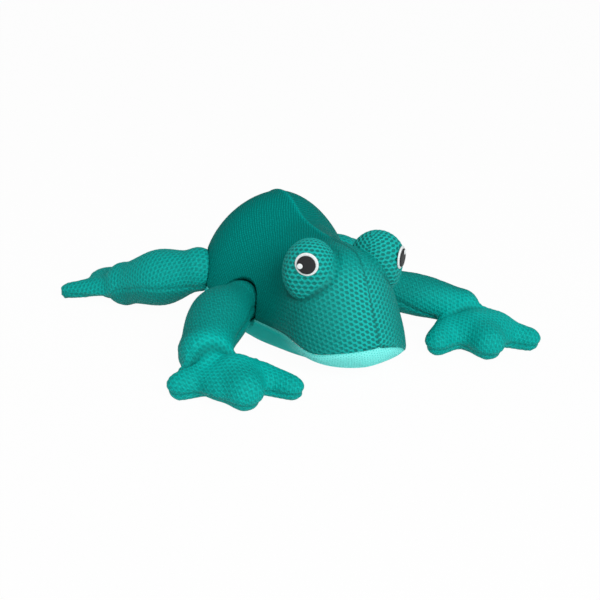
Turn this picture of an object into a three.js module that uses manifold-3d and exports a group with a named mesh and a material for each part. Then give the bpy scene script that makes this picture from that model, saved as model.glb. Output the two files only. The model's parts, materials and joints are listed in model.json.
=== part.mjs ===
// Sprawled frog, a soft toy that is soaked and frozen to cool a dog. Sizes are in mm.
// +Z is up, the frog faces -Y and its left side is +X. It rests on its belly and its feet.
import * as THREE from "three";
import { mergeVertices } from "three/addons/utils/BufferGeometryUtils.js";
import Module from "manifold-3d";

const wasm = await Module();
wasm.setup();

// Fabric and the clearances between pieces.
const COVER_THICKNESS = 3;
const SEAM_GAP = 0.3;
const FIT_GAP = 0.3;
const FILL_GAP = 0.6;
const FLOOR_FLAT = 0.5;
const BELLY_FLAT = 1;

// Torso with the head, stuffed.
const BODY_LENGTH = 180;
const BODY_WIDTH = 117;
const BODY_HEIGHT = 95;
const BACK_ROUNDNESS = 1.85;
const BELLY_ROUNDNESS = 2;
const NECK_AHEAD = 22;

// Outline of the torso from rump to nose. Place is a share of half the length, half is a share
// of half the width, and top, seam and bottom are shares of the height.
const BODY_OUTLINE = [
  { place: 1.0, half: 0.0, top: 0.441, seam: 0.441, bottom: 0.441 },
  { place: 0.965, half: 0.4, top: 0.649, seam: 0.431, bottom: 0.281 },
  { place: 0.87, half: 0.75, top: 0.833, seam: 0.412, bottom: 0.136 },
  { place: 0.69, half: 0.97, top: 0.968, seam: 0.368, bottom: 0.039 },
  { place: 0.47, half: 0.95, top: 1.0, seam: 0.315, bottom: 0.0 },
  { place: 0.22, half: 0.845, top: 0.915, seam: 0.271, bottom: 0.0 },
  { place: 0.0, half: 0.785, top: 0.867, seam: 0.232, bottom: 0.0 },
  { place: -0.22, half: 0.745, top: 0.857, seam: 0.208, bottom: 0.0 },
  { place: -0.44, half: 0.75, top: 0.867, seam: 0.194, bottom: 0.0 },
  { place: -0.62, half: 0.73, top: 0.852, seam: 0.189, bottom: 0.019 },
  { place: -0.76, half: 0.63, top: 0.717, seam: 0.203, bottom: 0.063 },
  { place: -0.88, half: 0.455, top: 0.528, seam: 0.242, bottom: 0.116 },
  { place: -0.965, half: 0.245, top: 0.387, seam: 0.271, bottom: 0.194 },
  { place: -1.0, half: 0.0, top: 0.3, seam: 0.3, bottom: 0.3 },
];

// Eye bulges, sewn on the head, and the flat eye on each.
const EYE_APART = 49;
const EYE_AHEAD = 40;
const EYE_HEIGHT = 72;
const EYE_TURN = 41;
const EYE_RAISE_RIGHT = 3.5;
const EYE_RAISE_LEFT = 1;
const BULGE_DEPTH = 40;
const BULGE_WIDTH = 34;
const BULGE_TALL = 40;
const EYE_DIAMETER = 16.8;
const EYE_RIM = 2.5;
const PUPIL_DIAMETER = 12.6;
const GLINT_DIAMETER = 4;
const EYE_THICKNESS = 1.2;
const PUPIL_THICKNESS = 0.8;
const GLINT_THICKNESS = 0.6;
const GLINT_SIDE = 1.9;
const GLINT_DROP = 1.6;

// Legs: a round root in the side seam, a swollen middle and a round end in the foot.
const ROOT_PROUD = 3;
const FRONT_ROOT_RADIUS = 15;
const FRONT_MIDDLE_RADIUS = 18.5;
const HIND_ROOT_RADIUS = 16;
const HIND_MIDDLE_RADIUS = 18.5;
const WRIST_RADIUS = 12.5;
const BALL_SHARE = 112;

// Feet: a palm under the end of the leg and three toes spread from it.
const HEEL_THICKNESS = 7;
const PALM_LENGTH = 40;
const PALM_WIDTH = 46;
const PALM_HEIGHT = 25;
const PALM_AHEAD = 20;
const TOE_START = 10;
const TOE_LENGTH = 52;
const TOE_RADIUS = 10;
const MIDDLE_TOE_RADIUS = 13;
const TOE_WAIST = 0.9;
const FOOT_SEAM_HEIGHT = 8.5;
const FOLD_UP = 40;
const FOLD_DOWN = 25;
const FOLD_STEPS = 5;

// How each leg lies: place along the body (0 rump, 1 nose) and angle around it (0 side, 90 back),
// how far out, ahead and down from the root it bends, how far out and ahead the wrist is, where
// the foot points (0 straight ahead) and how far its outer and inner toes spread.
const LEGS = [
  { name: "front_leg_right", foot: "front_foot_right", side: -1, place: 0.41, around: 8,
    root: FRONT_ROOT_RADIUS, middle: FRONT_MIDDLE_RADIUS,
    bendOut: 33, bendAhead: 10, bendDrop: 2, out: 36, ahead: 54, yaw: 10, spreadOut: 56, spreadIn: 42 },
  { name: "front_leg_left", foot: "front_foot_left", side: 1, place: 0.44, around: 8,
    root: FRONT_ROOT_RADIUS, middle: FRONT_MIDDLE_RADIUS,
    bendOut: 38, bendAhead: 24, bendDrop: 2, out: 57, ahead: 44, yaw: -14, spreadOut: 49, spreadIn: 47 },
  { name: "hind_leg_right", foot: "hind_foot_right", side: -1, place: 0.23, around: 4,
    root: HIND_ROOT_RADIUS, middle: HIND_MIDDLE_RADIUS,
    bendOut: 22, bendAhead: -18, bendDrop: 13, out: 37, ahead: -46, yaw: 160, spreadOut: 51, spreadIn: 51 },
  { name: "hind_leg_left", foot: "hind_foot_left", side: 1, place: 0.23, around: 4,
    root: HIND_ROOT_RADIUS, middle: HIND_MIDDLE_RADIUS,
    bendOut: 22, bendAhead: -18, bendDrop: 13, out: 37, ahead: -46, yaw: 160, spreadOut: 51, spreadIn: 51 },
];

// How finely the rounded forms are divided.
const BODY_SKIN = { rings: 14, around: 16 };
const BODY_INSIDE = { rings: 10, around: 12 };
const FOOT_SKIN = { toe: 8, palm: 10, palmRings: 5, tip: [45] };
const FOOT_INSIDE = { toe: 5, palm: 6, palmRings: 4, tip: [50] };
const BULGE_SKIN = { around: 12, rings: 8 };
const BULGE_INSIDE = { around: 8, rings: 6 };
const LEG_AROUND = 8;
const BALL_AROUND = 10;
const BALL_RINGS = 6;
const DISC_AROUND = 28;

// Colours.
const TEAL_MESH = { color: 0x0d9388, roughness: 0.85, metalness: 0 };
const AQUA_KNIT = { color: 0x63dccb, roughness: 0.8, metalness: 0 };
const WHITE_FELT = { color: 0xf2f2ef, roughness: 0.7, metalness: 0 };
const BLACK_FELT = { color: 0x231f26, roughness: 0.7, metalness: 0 };
const SPONGE = { color: 0xe9e4d2, roughness: 0.95, metalness: 0 };
const FIBRE = { color: 0xf4f4f0, roughness: 0.95, metalness: 0 };

const UP = new THREE.Vector3(0, 0, 1);
const radians = THREE.MathUtils.degToRad;

const frog = new THREE.Group();
frog.name = "frog";

// A closed geometry as a solid that faces out.
function solid(geometry) {
  const plain = new THREE.BufferGeometry();
  plain.setAttribute("position", geometry.getAttribute("position").clone());
  plain.setIndex(geometry.getIndex());
  const joined = mergeVertices(plain, 1e-4);
  const position = joined.getAttribute("position");
  const index = Array.from(joined.getIndex().array);
  const kept = [];
  const corners = [new THREE.Vector3(), new THREE.Vector3(), new THREE.Vector3()];
  let volume = 0;
  for (let i = 0; i < index.length; i += 3) {
    const [a, b, c] = [index[i], index[i + 1], index[i + 2]];
    if (a === b || b === c || c === a) continue;
    corners.forEach((corner, j) => corner.fromBufferAttribute(position, index[i + j]));
    volume += corners[0].dot(corners[1].cross(corners[2]));
    kept.push(a, b, c);
  }
  const turned = volume < 0;
  for (let i = 0; turned && i < kept.length; i += 3) {
    [kept[i + 1], kept[i + 2]] = [kept[i + 2], kept[i + 1]];
  }
  const mesh = new wasm.Mesh({
    numProp: 3,
    vertProperties: new Float32Array(position.array),
    triVerts: new Uint32Array(kept),
  });
  return new wasm.Manifold(mesh);
}

// A solid moved to its place on the frog.
function turnedSolid(body, matrix) {
  const mesh = body.getMesh();
  const position = new THREE.BufferAttribute(new Float32Array(mesh.vertProperties), 3);
  position.applyMatrix4(matrix);
  return new wasm.Manifold(new wasm.Mesh({
    numProp: 3,
    vertProperties: position.array,
    triVerts: mesh.triVerts,
  }));
}

// A named piece of the frog from a solid.
function addPiece(name, body, look) {
  const mesh = body.getMesh();
  const geometry = new THREE.BufferGeometry();
  geometry.setAttribute("position", new THREE.BufferAttribute(new Float32Array(mesh.vertProperties), 3));
  geometry.setIndex(new THREE.BufferAttribute(new Uint32Array(mesh.triVerts), 1));
  geometry.computeVertexNormals();
  const piece = new THREE.Mesh(geometry, new THREE.MeshStandardMaterial(look));
  piece.name = name;
  frog.add(piece);
}

// A box between two corners, used to cut.
function block(low, high) {
  const size = new THREE.Vector3().subVectors(high, low);
  const geometry = new THREE.BoxGeometry(size.x, size.y, size.z);
  geometry.translate((low.x + high.x) / 2, (low.y + high.y) / 2, (low.z + high.z) / 2);
  return solid(geometry);
}

// A ball around a centre whose flats stay outside the radius.
function pocket(centre, radius) {
  const clear = radius / (Math.cos(Math.PI / BALL_AROUND) * Math.cos(Math.PI / BALL_RINGS / 2));
  const geometry = new THREE.SphereGeometry(clear, BALL_AROUND, BALL_RINGS);
  geometry.translate(centre.x, centre.y, centre.z);
  return solid(geometry);
}

// A skin over rings of points; each end closes on a tip.
function loft(rings, firstTip, lastTip) {
  const count = rings[0].length;
  const points = [firstTip, ...rings.flat(), lastTip];
  const last = points.length - 1;
  const at = (ring, j) => 1 + ring * count + (j % count);
  const index = [];
  for (let j = 0; j < count; j += 1) {
    index.push(0, at(0, j + 1), at(0, j));
    index.push(last, at(rings.length - 1, j), at(rings.length - 1, j + 1));
    for (let i = 0; i + 1 < rings.length; i += 1) {
      index.push(at(i, j), at(i, j + 1), at(i + 1, j + 1));
      index.push(at(i, j), at(i + 1, j + 1), at(i + 1, j));
    }
  }
  const geometry = new THREE.BufferGeometry().setFromPoints(points);
  geometry.setIndex(index);
  return geometry;
}

// Space that everything lies in, for cutting with half spaces.
const FAR = 2 * (BODY_LENGTH + BODY_WIDTH + BODY_HEIGHT);
const belowFloor = block(new THREE.Vector3(-FAR, -FAR, -FAR), new THREE.Vector3(FAR, FAR, 0));

// Torso outline as two smooth runs: where and how wide, and how high.
const plan = new THREE.CatmullRomCurve3(
  BODY_OUTLINE.map((s) => new THREE.Vector3((s.place * BODY_LENGTH) / 2, (s.half * BODY_WIDTH) / 2, 0)),
  false, "catmullrom", 0.5);
const heights = new THREE.CatmullRomCurve3(
  BODY_OUTLINE.map((s) => new THREE.Vector3(s.top, s.seam, s.bottom).multiplyScalar(BODY_HEIGHT)),
  false, "catmullrom", 0.5);

function roundPower(value, roundness) {
  return Math.sign(value) * Math.abs(value) ** (2 / roundness);
}

function bodyPoint(place, around) {
  const where = plan.getPoint(place);
  const high = heights.getPoint(place);
  const sine = Math.sin(around);
  const roundness = sine < 0 ? BELLY_ROUNDNESS : BACK_ROUNDNESS;
  const half = Math.max(where.y, 0);
  const low = high.z - BELLY_FLAT;
  const rise = sine < 0 ? high.y - low : high.x - high.y;
  const lift = roundPower(sine, roundness) * Math.max(rise, 0);
  return new THREE.Vector3(half * roundPower(Math.cos(around), roundness), where.x, high.y + lift);
}

function bodyNormal(place, around) {
  const step = 0.004;
  const alongBody = bodyPoint(place + step, around).sub(bodyPoint(place - step, around));
  const aroundBody = bodyPoint(place, around + step).sub(bodyPoint(place, around - step));
  return aroundBody.cross(alongBody).normalize();
}

// The torso as one solid, drawn in (or swollen, if negative) by an inset.
function bodySolid(inset, fine) {
  const rings = [];
  for (let i = 1; i <= fine.rings; i += 1) {
    const place = i / (fine.rings + 1);
    const ring = [];
    for (let j = 0; j < fine.around; j += 1) {
      const around = ((j + 0.5) / fine.around) * 2 * Math.PI;
      const normal = bodyNormal(place, around);
      ring.push(bodyPoint(place, around).addScaledVector(normal, -inset));
    }
    rings.push(ring);
  }
  const rump = bodyPoint(0, 0).add(new THREE.Vector3(0, -inset, 0));
  const nose = bodyPoint(1, 0).add(new THREE.Vector3(0, inset, 0));
  return solid(loft(rings, rump, nose));
}

// Everything on one side of the side seam, seen from the side, and half the seam's gap beyond it.
function besideSeam(above) {
  const shape = new THREE.Shape();
  const offset = (above ? -1 : 1) * (SEAM_GAP / 2);
  const steps = BODY_SKIN.rings + 1;
  shape.moveTo(FAR, bodyPoint(0, 0).z + offset);
  for (let i = 0; i <= steps; i += 1) {
    const point = bodyPoint(i / steps, 0);
    shape.lineTo(point.y, point.z + offset);
  }
  shape.lineTo(-FAR, bodyPoint(1, 0).z + offset);
  shape.lineTo(-FAR, above ? FAR : -FAR);
  shape.lineTo(FAR, above ? FAR : -FAR);
  const geometry = new THREE.ExtrudeGeometry(shape, { depth: 2 * FAR, bevelEnabled: false });
  geometry.translate(0, 0, -FAR);
  geometry.applyMatrix4(new THREE.Matrix4().makeBasis(
    new THREE.Vector3(0, 1, 0), new THREE.Vector3(0, 0, 1), new THREE.Vector3(1, 0, 0)));
  return solid(geometry);
}

// Where a leg runs: from its pivot in the side seam, straight out, then down to the wrist.
const WRIST_HEIGHT = HEEL_THICKNESS + FIT_GAP + WRIST_RADIUS;

function legCourse(leg) {
  const around = leg.side > 0 ? radians(leg.around) : Math.PI - radians(leg.around);
  const out = bodyNormal(leg.place, around);
  const pivot = bodyPoint(leg.place, around).addScaledVector(out, ROOT_PROUD);
  const wrist = new THREE.Vector3(pivot.x + leg.side * leg.out, pivot.y - leg.ahead, WRIST_HEIGHT);
  const bend = pivot.clone().add(new THREE.Vector3(leg.side * leg.bendOut, -leg.bendAhead, -leg.bendDrop));
  return new THREE.QuadraticBezierCurve3(pivot, bend, wrist);
}

// Rings down a leg as distance along it and radius: part of the root ball, the swollen middle
// and part of the wrist ball.
function legStations(leg, length, inset) {
  const root = leg.root - inset;
  const wrist = WRIST_RADIUS - inset;
  const turns = [28, 60, 88, BALL_SHARE];
  const stations = turns.map((turn) => [-root * Math.cos(radians(turn)), root * Math.sin(radians(turn))]);
  stations.push([0.36 * length, leg.middle * 0.97 - inset]);
  stations.push([0.55 * length, leg.middle - inset]);
  turns.reverse().forEach((turn) => {
    stations.push([length + wrist * Math.cos(radians(turn)), wrist * Math.sin(radians(turn))]);
  });
  return stations;
}

function legFrame(course, length, distance) {
  const share = THREE.MathUtils.clamp(distance / length, 0, 1);
  const ahead = course.getTangentAt(share);
  const centre = course.getPointAt(share).addScaledVector(ahead, distance - share * length);
  const across = new THREE.Vector3().crossVectors(ahead, UP).normalize();
  const above = new THREE.Vector3().crossVectors(across, ahead);
  return { centre, across, above };
}

function legPoint(frame, radius, angle) {
  return frame.centre.clone()
    .addScaledVector(frame.across, radius * Math.cos(angle))
    .addScaledVector(frame.above, radius * Math.sin(angle));
}

// A leg as one closed solid, drawn in by an inset.
function legSolid(leg, course, inset) {
  const length = course.getLength();
  const rings = legStations(leg, length, inset).map(([distance, radius]) => {
    const frame = legFrame(course, length, distance);
    const ring = [];
    for (let j = 0; j < LEG_AROUND; j += 1) {
      ring.push(legPoint(frame, radius, (j / LEG_AROUND) * 2 * Math.PI));
    }
    return ring;
  });
  const firstTip = legFrame(course, length, inset - leg.root).centre;
  const lastTip = legFrame(course, length, length + WRIST_RADIUS - inset).centre;
  return solid(loft(rings, firstTip, lastTip));
}

// The room that a leg needs beside its foot while the foot folds at the wrist.
function legRoom(leg, course) {
  const swollen = legSolid(leg, course, -FILL_GAP);
  const wrist = course.v2;
  const axis = new THREE.Vector3(-Math.cos(radians(leg.yaw)), -leg.side * Math.sin(radians(leg.yaw)), 0);
  const rooms = [];
  for (let i = 0; i <= FOLD_STEPS; i += 1) {
    const fold = -FOLD_DOWN + (i / FOLD_STEPS) * (FOLD_UP + FOLD_DOWN);
    const turn = new THREE.Matrix4()
      .makeTranslation(wrist.x, wrist.y, wrist.z)
      .multiply(new THREE.Matrix4().makeRotationAxis(axis, -radians(fold)))
      .multiply(new THREE.Matrix4().makeTranslation(-wrist.x, -wrist.y, -wrist.z));
    rooms.push(turnedSolid(swollen, turn));
  }
  return rooms;
}

// One of the two panels of a leg, open at both ends: outer skin, inner skin and the edges.
function legPanel(leg, course, above) {
  const length = course.getLength();
  const across = LEG_AROUND / 2;
  const first = above ? 0 : Math.PI;
  const skin = (inset) => legStations(leg, length, inset).map(([distance, radius]) => {
    const frame = legFrame(course, length, distance);
    const edge = SEAM_GAP / 2 / radius;
    const row = [];
    for (let j = 0; j <= across; j += 1) {
      row.push(legPoint(frame, radius, first + edge + (j / across) * (Math.PI - 2 * edge)));
    }
    return row;
  });
  const outer = skin(0);
  const inner = skin(COVER_THICKNESS);
  const rings = outer.map((row, i) => [...row, ...inner[i].reverse()]);
  const count = rings[0].length;
  const index = [];
  for (let i = 0; i + 1 < rings.length; i += 1) {
    for (let j = 0; j < count; j += 1) {
      const next = (j + 1) % count;
      index.push(i * count + j, i * count + next, (i + 1) * count + next);
      index.push(i * count + j, (i + 1) * count + next, (i + 1) * count + j);
    }
  }
  const last = (rings.length - 1) * count;
  for (let j = 0; j < across; j += 1) {
    const back = count - 1 - j;
    index.push(j, back, j + 1, j + 1, back, back - 1);
    index.push(last + j, last + j + 1, last + back, last + j + 1, last + back - 1, last + back);
  }
  const geometry = new THREE.BufferGeometry().setFromPoints(rings.flat());
  geometry.setIndex(index);
  return solid(geometry);
}

// One toe, lying along +X from the middle of the foot, rounded at the tip.
function toe(turn, radius, inset, fine) {
  const full = radius - inset;
  const tip = TOE_LENGTH - inset;
  const ball = tip - full;
  const start = TOE_START + inset;
  const waist = full * TOE_WAIST;
  const profile = [new THREE.Vector2(0, start), new THREE.Vector2(waist * 0.75, start + waist * 0.3)];
  profile.push(new THREE.Vector2(waist, start + waist), new THREE.Vector2(full, ball));
  fine.tip.forEach((part) => {
    profile.push(new THREE.Vector2(full * Math.cos(radians(part)), ball + full * Math.sin(radians(part))));
  });
  profile.push(new THREE.Vector2(0, tip));
  const geometry = new THREE.LatheGeometry(profile, fine.toe);
  geometry.rotateZ(-Math.PI / 2);
  geometry.rotateZ(radians(turn));
  geometry.translate(0, 0, radius - FLOOR_FLAT);
  return solid(geometry);
}

// A foot at its wrist, pointing along +X.
function footSolid(leg, inset, fine) {
  const palm = new THREE.SphereGeometry(1, fine.palm, fine.palmRings);
  palm.rotateY(Math.PI / fine.palm);
  palm.scale(PALM_LENGTH / 2 - inset, PALM_WIDTH / 2 - inset, PALM_HEIGHT / 2 - inset);
  palm.translate(PALM_AHEAD, 0, PALM_HEIGHT / 2 - FLOOR_FLAT);
  return solid(palm)
    .add(toe(0, MIDDLE_TOE_RADIUS, inset, fine))
    .add(toe(leg.side * leg.spreadOut, TOE_RADIUS, inset, fine))
    .add(toe(-leg.side * leg.spreadIn, TOE_RADIUS, inset, fine));
}

// Legs and feet.
const courses = LEGS.map(legCourse);
const rootPockets = LEGS.map((leg, i) => pocket(courses[i].v0, leg.root + FIT_GAP));
const seamLow = FOOT_SEAM_HEIGHT - SEAM_GAP / 2;
const seamHigh = FOOT_SEAM_HEIGHT + SEAM_GAP / 2;
const underSeam = block(new THREE.Vector3(-FAR, -FAR, -FAR), new THREE.Vector3(FAR, FAR, seamHigh));
const overSeam = block(new THREE.Vector3(-FAR, -FAR, seamLow), new THREE.Vector3(FAR, FAR, FAR));
const wristPocket = pocket(new THREE.Vector3(0, 0, WRIST_HEIGHT), WRIST_RADIUS + FIT_GAP);

LEGS.forEach((leg, i) => {
  const course = courses[i];
  addPiece(`${leg.name}_top`, legPanel(leg, course, true), TEAL_MESH);
  addPiece(`${leg.name}_bottom`, legPanel(leg, course, false), TEAL_MESH);
  addPiece(`${leg.name}_fill`, legSolid(leg, course, COVER_THICKNESS + FILL_GAP), FIBRE);
  const footOuter = footSolid(leg, 0, FOOT_SKIN).subtract(belowFloor).subtract(wristPocket);
  const footCover = footOuter.subtract(footSolid(leg, COVER_THICKNESS, FOOT_INSIDE));
  const footFill = footSolid(leg, COVER_THICKNESS + FIT_GAP, FOOT_INSIDE).subtract(wristPocket);
  const yaw = radians(leg.yaw);
  const wrist = course.v2;
  const place = new THREE.Matrix4()
    .makeTranslation(wrist.x, wrist.y, 0)
    .multiply(new THREE.Matrix4().makeRotationZ(-Math.PI / 2 + leg.side * yaw));
  const rooms = legRoom(leg, course);
  const clear = (body) => rooms.reduce((rest, room) => rest.subtract(room), turnedSolid(body, place));
  addPiece(`${leg.foot}_top`, clear(footCover.subtract(underSeam)), TEAL_MESH);
  addPiece(`${leg.foot}_bottom`, clear(footCover.subtract(overSeam)), TEAL_MESH);
  addPiece(`${leg.foot}_fill`, clear(footFill), FIBRE);
});

// Torso: two mesh panels over the back and head, the belly, and the fill inside.
const bodyOuter = bodySolid(0, BODY_SKIN).subtract(belowFloor);
const bodyCover = rootPockets.reduce((body, hole) => body.subtract(hole),
  bodyOuter.subtract(bodySolid(COVER_THICKNESS, BODY_INSIDE)));
const backCover = bodyCover.subtract(besideSeam(false));
const halfGap = SEAM_GAP / 2;
const rightOfSeam = block(new THREE.Vector3(-FAR, -FAR, -FAR), new THREE.Vector3(halfGap, FAR, FAR));
const leftOfSeam = block(new THREE.Vector3(-halfGap, -FAR, -FAR), new THREE.Vector3(FAR, FAR, FAR));
addPiece("body_panel_right", backCover.subtract(leftOfSeam), TEAL_MESH);
addPiece("body_panel_left", backCover.subtract(rightOfSeam), TEAL_MESH);
addPiece("belly_panel", bodyCover.subtract(besideSeam(true)), AQUA_KNIT);

const bodyFill = rootPockets.reduce((body, hole) => body.subtract(hole),
  bodySolid(COVER_THICKNESS + FIT_GAP, BODY_INSIDE));
const aheadOfNeck = block(new THREE.Vector3(-FAR, -FAR, -FAR),
  new THREE.Vector3(FAR, -NECK_AHEAD + FIT_GAP / 2, FAR));
const behindNeck = block(new THREE.Vector3(-FAR, -NECK_AHEAD - FIT_GAP / 2, -FAR),
  new THREE.Vector3(FAR, FAR, FAR));
addPiece("body_core", bodyFill.subtract(aheadOfNeck), SPONGE);
addPiece("head_fill", bodyFill.subtract(behindNeck), FIBRE);

// Eyes: a stuffed bulge pressed flat in front, and a felt eye on the flat.
function eyeTurn(side) {
  const look = new THREE.Vector3(side * Math.sin(radians(EYE_TURN)), -Math.cos(radians(EYE_TURN)), 0);
  const across = new THREE.Vector3().crossVectors(UP, look);
  const turn = new THREE.Matrix4().makeBasis(across, UP, look);
  return turn.setPosition(side * EYE_APART / 2, -EYE_AHEAD, EYE_HEIGHT);
}

function bulge(inset, fine) {
  const geometry = new THREE.SphereGeometry(1, fine.around, fine.rings);
  geometry.rotateX(Math.PI / 2);
  geometry.scale(BULGE_WIDTH / 2 - inset, BULGE_TALL / 2 - inset, BULGE_DEPTH / 2 - inset);
  return solid(geometry);
}

function disc(diameter, low, high) {
  const profile = [[0, low], [diameter / 2, low], [diameter / 2, high], [0, high]];
  return new THREE.LatheGeometry(profile.map((p) => new THREE.Vector2(...p)), DISC_AROUND);
}

// How far in front of the middle of the bulge it is as wide as the eye and its rim.
const EYE_FLAT = (BULGE_DEPTH / 2) * Math.sqrt(1 - ((EYE_DIAMETER + 2 * EYE_RIM) / BULGE_WIDTH) ** 2);
const headSwollen = bodySolid(-FIT_GAP, BODY_SKIN);
const EYES = [
  { name: "right", side: -1, raise: EYE_RAISE_RIGHT },
  { name: "left", side: 1, raise: EYE_RAISE_LEFT },
];
const EYE_LAYERS = [
  { name: "eye_white", diameter: EYE_DIAMETER, thickness: EYE_THICKNESS, look: WHITE_FELT },
  { name: "pupil", diameter: PUPIL_DIAMETER, thickness: PUPIL_THICKNESS, look: BLACK_FELT },
  { name: "eye_glint", diameter: GLINT_DIAMETER, thickness: GLINT_THICKNESS, look: WHITE_FELT },
];

for (const { name, side, raise } of EYES) {
  const turn = eyeTurn(side);
  const front = (depth) => block(new THREE.Vector3(-FAR, -FAR, depth), new THREE.Vector3(FAR, FAR, FAR));
  const hollow = bulge(COVER_THICKNESS, BULGE_INSIDE).subtract(front(EYE_FLAT - COVER_THICKNESS));
  const skin = bulge(0, BULGE_SKIN).subtract(front(EYE_FLAT)).subtract(hollow);
  const inside = COVER_THICKNESS + FIT_GAP;
  const fill = bulge(inside, BULGE_INSIDE).subtract(front(EYE_FLAT - inside));
  addPiece(`eye_bulge_${name}`, turnedSolid(skin, turn).subtract(headSwollen), TEAL_MESH);
  addPiece(`eye_fill_${name}`, turnedSolid(fill, turn).subtract(headSwollen), FIBRE);
  let low = EYE_FLAT + FIT_GAP;
  for (const layer of EYE_LAYERS) {
    const geometry = disc(layer.diameter, low, low + layer.thickness);
    geometry.rotateX(Math.PI / 2);
    geometry.translate(0, raise, 0);
    if (layer.name === "eye_glint") {
      geometry.translate(-GLINT_SIDE, -GLINT_DROP, 0);
    }
    geometry.applyMatrix4(turn);
    addPiece(`${layer.name}_${name}`, solid(geometry), layer.look);
    low += layer.thickness + FIT_GAP;
  }
}

export default frog;
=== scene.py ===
import json
import math

import bpy
import numpy as np
from mathutils import Matrix, Vector

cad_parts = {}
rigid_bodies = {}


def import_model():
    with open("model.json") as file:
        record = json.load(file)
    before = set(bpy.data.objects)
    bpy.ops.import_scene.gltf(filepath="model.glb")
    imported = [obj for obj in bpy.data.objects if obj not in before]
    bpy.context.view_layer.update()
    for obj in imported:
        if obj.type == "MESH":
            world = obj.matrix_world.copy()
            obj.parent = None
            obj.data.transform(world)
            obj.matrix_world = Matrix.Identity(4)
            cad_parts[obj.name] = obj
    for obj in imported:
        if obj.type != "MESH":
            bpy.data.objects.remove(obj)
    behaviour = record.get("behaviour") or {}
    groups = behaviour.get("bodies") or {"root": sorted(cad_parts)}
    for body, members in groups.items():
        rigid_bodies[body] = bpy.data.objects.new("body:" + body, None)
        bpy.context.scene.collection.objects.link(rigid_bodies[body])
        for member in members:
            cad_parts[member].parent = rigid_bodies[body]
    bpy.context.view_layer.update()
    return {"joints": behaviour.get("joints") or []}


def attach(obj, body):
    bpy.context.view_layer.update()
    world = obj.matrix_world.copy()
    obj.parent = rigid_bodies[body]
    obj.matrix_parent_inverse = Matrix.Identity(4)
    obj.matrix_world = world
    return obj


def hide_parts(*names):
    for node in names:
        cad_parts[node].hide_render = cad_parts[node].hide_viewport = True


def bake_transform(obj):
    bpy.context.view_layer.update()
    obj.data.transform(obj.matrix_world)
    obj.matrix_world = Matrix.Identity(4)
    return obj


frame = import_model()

scene = bpy.context.scene
joints = {joint["name"]: joint for joint in frame["joints"]}


# The view
# A studio camera that looks down on the frog from the front of its right shoulder, a little tilted.
VIEW_AIM = (-0.0222, -0.0220, 0.0400)
VIEW_DISTANCE = 0.8
VIEW_TURN = math.radians(30)
VIEW_RISE = math.radians(21)
VIEW_ROLL = math.radians(3)
VIEW_LENS = 70.59

back = Vector((
    -math.sin(VIEW_TURN) * math.cos(VIEW_RISE),
    -math.cos(VIEW_TURN) * math.cos(VIEW_RISE),
    math.sin(VIEW_RISE),
))
level = Vector((math.cos(VIEW_TURN), -math.sin(VIEW_TURN), 0))
upright = back.cross(level)
right = level * math.cos(VIEW_ROLL) + upright * math.sin(VIEW_ROLL)
camera = bpy.data.objects.new("camera", bpy.data.cameras.new("camera"))
camera.data.lens = VIEW_LENS
camera.data.clip_start = 0.01
camera.matrix_world = Matrix((right, back.cross(right), back)).transposed().to_4x4()
camera.location = Vector(VIEW_AIM) + back * VIEW_DISTANCE
scene.collection.objects.link(camera)
scene.camera = camera
scene.view_settings.view_transform = "Standard"


# Torso cover
# Two panels of teal spacer mesh over the back and head, sewn together along the spine and down the
# face, and one aqua knit panel under the belly, sewn to them along the sides and the mouth.
# They were sewn inside out, turned and stuffed hard.
TORSO_LENGTH = 0.180
TORSO_WIDTH = 0.117
TORSO_HEIGHT = 0.095
TORSO_AROUND = 64
TORSO_RINGS = 44
TORSO_FINE = 3
BELLY_FLAT = 0.001
BELLY_HELD = 0.0015
STUFFING_SWELL = 0.0004
STUFFING_CAP = 0.0022

# How full the torso is in section, where 2 is round. The belly's changes from the chin to the rump.
BACK_ROUNDNESS = {"right": 1.85, "left": 1.6}
BELLY_PLACES = (-0.5, 0.0, 0.3, 0.8)
BELLY_ROUNDNESS = (1.6, 3.4, 3.4, 2.2)

# From rump to nose: place and the half widths on the right and the left as shares of half the size,
# then the heights of the back, the right and left side seams and the belly as shares of the whole
# height. The head lies rolled a little to its left, so the left seam is lower there and the filling
# swells the right flank between the legs.
TORSO_OUTLINE = np.array([
    (1.0, 0.0, 0.0, 0.441, 0.441, 0.441, 0.441),
    (0.965, 0.4, 0.4, 0.649, 0.431, 0.431, 0.281),
    (0.87, 0.75, 0.75, 0.85, 0.412, 0.412, 0.136),
    (0.69, 0.98, 0.98, 0.98, 0.368, 0.368, 0.039),
    (0.47, 1.04, 0.95, 1.0, 0.315, 0.315, 0.0),
    (0.22, 0.91, 0.845, 0.890, 0.271, 0.25, 0.0),
    (0.0, 0.82, 0.785, 0.860, 0.235, 0.19, 0.0),
    (-0.22, 0.765, 0.745, 0.857, 0.24, 0.13, 0.0),
    (-0.44, 0.75, 0.75, 0.867, 0.255, 0.09, 0.0),
    (-0.62, 0.73, 0.73, 0.852, 0.235, 0.08, 0.019),
    (-0.76, 0.63, 0.63, 0.717, 0.21, 0.115, 0.063),
    (-0.88, 0.455, 0.455, 0.528, 0.242, 0.195, 0.116),
    (-0.965, 0.245, 0.245, 0.387, 0.271, 0.26, 0.194),
    (-1.0, 0.0, 0.0, 0.3, 0.3, 0.3, 0.3),
])

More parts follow.
